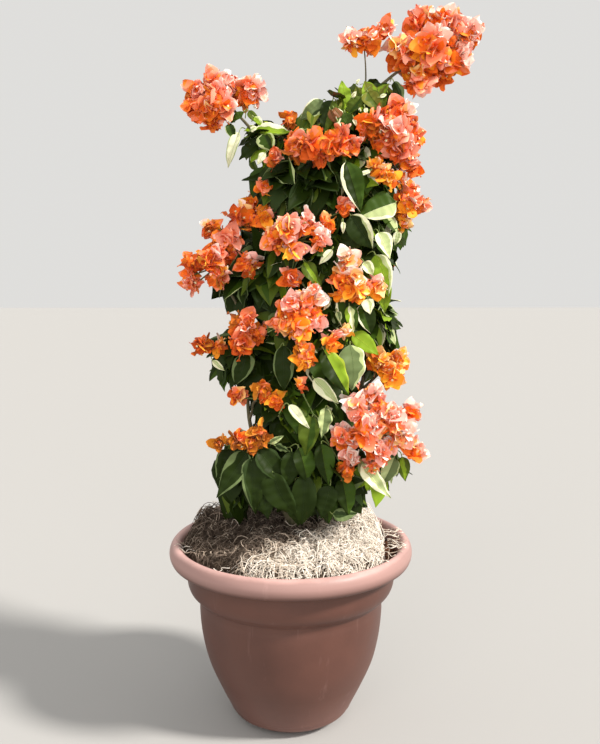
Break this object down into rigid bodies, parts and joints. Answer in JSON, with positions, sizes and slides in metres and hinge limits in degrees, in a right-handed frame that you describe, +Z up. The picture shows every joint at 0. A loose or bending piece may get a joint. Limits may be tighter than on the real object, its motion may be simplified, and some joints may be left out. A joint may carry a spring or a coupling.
{
  "type": "potted bougainvillea bush",
  "caption": "Potted flowering bush: a narrow leaning column of drooping variegated leaves and papery orange flower heads in a round rolled-rim pot topped with dried moss.",
  "frame": {"origin": "centre of the pot's flat underside", "axes": "+Z up through the pot's axis, -Y towards the front of the plant, +X to the right, the side the top leans to"},
  "size_m": [0.615, 0.5074, 1.4624],
  "materials": {
    "pot": "satin moulded brown plastic, slightly dusty",
    "soil": "matte damp potting mix with bark chips",
    "moss": "matte dried curly moss strands",
    "bark": "matte ridged grey-brown bark",
    "leaves": "satin green leaves with cream margins",
    "blossom": "matte papery orange and salmon bracts"
  },
  "bodies": {
    "root": {"bloom_back_left": "blossom", "bloom_back_low": "blossom", "bloom_back_low_right": "blossom", "bloom_back_middle": "blossom", "bloom_back_right": "blossom", "bloom_back_top": "blossom", "bloom_centre": "blossom", "bloom_centre_low": "blossom", "bloom_centre_right": "blossom", "bloom_far_left": "blossom", "bloom_left_arm": "blossom", "bloom_left_low": "blossom", "bloom_left_middle": "blossom", "bloom_left_upper": "blossom", "bloom_low_left": "blossom", "bloom_low_pair": "blossom", "bloom_low_right": "blossom", "bloom_right": "blossom", "bloom_right_small": "blossom", "bloom_top": "blossom", "bloom_top_left": "blossom", "bloom_upper_front": "blossom", "bloom_upper_right": "blossom", "leaves_back_lower": "leaves", "leaves_back_middle": "leaves", "leaves_back_skirt": "leaves", "leaves_back_top": "leaves", "leaves_back_upper": "leaves", "leaves_crown": "leaves", "leaves_crown_right": "leaves", "leaves_left_arm": "leaves", "leaves_low_right": "leaves", "leaves_lower": "leaves", "leaves_lower_left": "leaves", "leaves_middle": "leaves", "leaves_middle_upper": "leaves", "leaves_side_left": "leaves", "leaves_side_right_high": "leaves", "leaves_side_right_low": "leaves", "leaves_skirt_left": "leaves", "leaves_skirt_right": "leaves", "leaves_upper": "leaves", "leaves_upper_right": "leaves", "left_arm": "bark", "left_cane": "bark", "left_lower_arm": "bark", "low_left_arm": "bark", "low_right_arm": "bark", "main_stem": "bark", "moss": "moss", "pot": "pot", "right_cane": "bark", "soil": "soil", "top_arm": "bark", "top_twig": "bark"}
  },
  "joints": []
}
